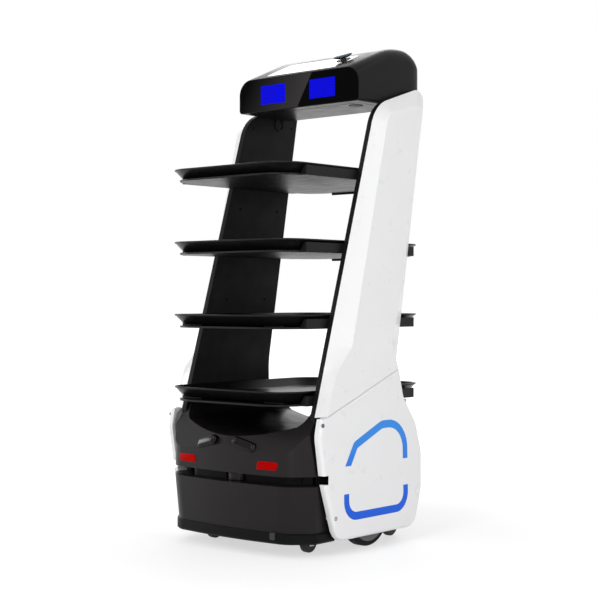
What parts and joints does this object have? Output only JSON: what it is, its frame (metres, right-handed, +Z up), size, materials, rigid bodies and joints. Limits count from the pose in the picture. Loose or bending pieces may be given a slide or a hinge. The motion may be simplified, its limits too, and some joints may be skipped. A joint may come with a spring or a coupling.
{
  "type": "serving delivery robot",
  "caption": "Wheeled serving robot: stacked trays between white-covered side frames, a base with lidar slot and bumper, and a head with display eyes.",
  "frame": {"origin": "on the floor, at the middle of the robot's plan", "axes": "+Z up; the robot's front, with the head display and the bumper, faces -Y; +X is the robot's left"},
  "size_m": [0.537, 0.584, 1.2998],
  "materials": {
    "frame_black": "black powder coat",
    "cover_white": "white satin moulding",
    "strip_blue": "translucent blue light strip",
    "shelf_black": "black powder coat",
    "tray_black": "matte black moulding",
    "base_black": "satin black moulding",
    "bumper_black": "soft black bumper",
    "deck_steel": "sheet steel",
    "lamp_red": "red lamp lens",
    "camera_glass": "dark window",
    "lidar_black": "gloss black",
    "motor_metal": "cast aluminium",
    "hub_grey": "grey nylon",
    "tyre_rubber": "black tread",
    "fork_steel": "zinc plated steel",
    "caster_grey": "dark polyurethane",
    "battery_case": "dark casing",
    "port_black": "black",
    "contact_metal": "bare contact",
    "button_grey": "grey",
    "head_black": "satin black moulding",
    "face_gloss": "piano black",
    "eye_blue": "lit display",
    "screen_glass": "dark screen",
    "stop_base": "black",
    "stop_cap": "dark blue-green"
  },
  "bodies": {
    "chassis": {"base_plate": "deck_steel", "base_upper_shell": "base_black", "battery_pack": "battery_case", "brake_lamp_left": "lamp_red", "brake_lamp_right": "lamp_red", "caster_mounts": "deck_steel", "charge_contacts": "contact_metal", "charge_port": "port_black", "control_box": "battery_case", "cross_beams": "frame_black", "drive_motor_left": "motor_metal", "drive_motor_right": "motor_metal", "eye_display_left": "eye_blue", "eye_display_right": "eye_blue", "face_panel": "face_gloss", "front_camera_left": "camera_glass", "front_camera_right": "camera_glass", "front_skirt": "base_black", "head_base": "head_black", "head_lens": "camera_glass", "head_shell": "head_black", "lidar_body": "lidar_black", "light_strips_left": "strip_blue", "light_strips_right": "strip_blue", "lower_cover_left": "cover_white", "lower_cover_right": "cover_white", "outer_cover_left": "cover_white", "outer_cover_right": "cover_white", "rear_cover": "base_black", "shelf_1": "shelf_black", "shelf_2": "shelf_black", "shelf_3": "shelf_black", "shelf_4": "shelf_black", "side_frame_left": "frame_black", "side_frame_right": "frame_black", "slot_core": "base_black", "stop_collar": "stop_base", "top_panel": "face_gloss", "touch_screen": "screen_glass"},
    "tray_body_1": {"tray_1": "tray_black"},
    "tray_body_2": {"tray_2": "tray_black"},
    "tray_body_3": {"tray_3": "tray_black"},
    "tray_body_4": {"tray_4": "tray_black"},
    "wheel_left": {"wheel_hub_left": "hub_grey", "tyre_left": "tyre_rubber"},
    "wheel_right": {"wheel_hub_right": "hub_grey", "tyre_right": "tyre_rubber"},
    "caster_front_left": {"caster_fork_front_left": "fork_steel"},
    "roller_front_left": {"caster_wheel_front_left": "caster_grey"},
    "caster_front_right": {"caster_fork_front_right": "fork_steel"},
    "roller_front_right": {"caster_wheel_front_right": "caster_grey"},
    "caster_rear_left": {"caster_fork_rear_left": "fork_steel"},
    "roller_rear_left": {"caster_wheel_rear_left": "caster_grey"},
    "caster_rear_right": {"caster_fork_rear_right": "fork_steel"},
    "roller_rear_right": {"caster_wheel_rear_right": "caster_grey"},
    "lidar_head": {"lidar_rotor": "lidar_black"},
    "bumper": {"front_bumper": "bumper_black"},
    "stop": {"stop_button": "stop_cap"},
    "power": {"power_button": "button_grey"}
  },
  "joints": [
    {"name": "tray_1_lift", "type": "slide", "parent": "chassis", "child": "tray_body_1", "axis": [0, 0, 1], "range_m": [0, 0.06]},
    {"name": "tray_2_lift", "type": "slide", "parent": "chassis", "child": "tray_body_2", "axis": [0, 0, 1], "range_m": [0, 0.06]},
    {"name": "tray_3_lift", "type": "slide", "parent": "chassis", "child": "tray_body_3", "axis": [0, 0, 1], "range_m": [0, 0.06]},
    {"name": "tray_4_lift", "type": "slide", "parent": "chassis", "child": "tray_body_4", "axis": [0, 0, 1], "range_m": [0, 0.06]},
    {"name": "wheel_left_spin", "type": "hinge", "parent": "chassis", "child": "wheel_left", "pos_m": [0.208, 0.026, 0.084], "axis": [1, 0, 0], "continuous": true},
    {"name": "wheel_right_spin", "type": "hinge", "parent": "chassis", "child": "wheel_right", "pos_m": [-0.208, 0.026, 0.084], "axis": [1, 0, 0], "continuous": true},
    {"name": "caster_front_left_swivel", "type": "hinge", "parent": "chassis", "child": "caster_front_left", "pos_m": [0.165, -0.17, 0.058], "axis": [0, 0, 1], "continuous": true},
    {"name": "caster_front_left_roll", "type": "hinge", "parent": "caster_front_left", "child": "roller_front_left", "pos_m": [0.165, -0.148, 0.025], "axis": [1, 0, 0], "continuous": true},
    {"name": "caster_front_right_swivel", "type": "hinge", "parent": "chassis", "child": "caster_front_right", "pos_m": [-0.165, -0.17, 0.058], "axis": [0, 0, 1], "continuous": true},
    {"name": "caster_front_right_roll", "type": "hinge", "parent": "caster_front_right", "child": "roller_front_right", "pos_m": [-0.165, -0.148, 0.025], "axis": [1, 0, 0], "continuous": true},
    {"name": "caster_rear_left_swivel", "type": "hinge", "parent": "chassis", "child": "caster_rear_left", "pos_m": [0.165, 0.165, 0.058], "axis": [0, 0, 1], "continuous": true},
    {"name": "caster_rear_left_roll", "type": "hinge", "parent": "caster_rear_left", "child": "roller_rear_left", "pos_m": [0.165, 0.187, 0.025], "axis": [1, 0, 0], "continuous": true},
    {"name": "caster_rear_right_swivel", "type": "hinge", "parent": "chassis", "child": "caster_rear_right", "pos_m": [-0.165, 0.165, 0.058], "axis": [0, 0, 1], "continuous": true},
    {"name": "caster_rear_right_roll", "type": "hinge", "parent": "caster_rear_right", "child": "roller_rear_right", "pos_m": [-0.165, 0.187, 0.025], "axis": [1, 0, 0], "continuous": true},
    {"name": "lidar_spin", "type": "hinge", "parent": "chassis", "child": "lidar_head", "pos_m": [0, -0.226, 0.185], "axis": [0, 0, 1], "continuous": true},
    {"name": "bumper_press", "type": "slide", "parent": "chassis", "child": "bumper", "axis": [0, 1, 0], "range_m": [0, 0.004], "stiffness_N_per_m": 1500, "springref_m": -0.001},
    {"name": "stop_press", "type": "slide", "parent": "chassis", "child": "stop", "axis": [0, 0.3896, -0.921], "range_m": [0, 0.004], "stiffness_N_per_m": 900, "springref_m": -0.001},
    {"name": "power_press", "type": "slide", "parent": "chassis", "child": "power", "axis": [0, -1, 0], "range_m": [0, 0.002], "stiffness_N_per_m": 500, "springref_m": -0.0005}
  ]
}
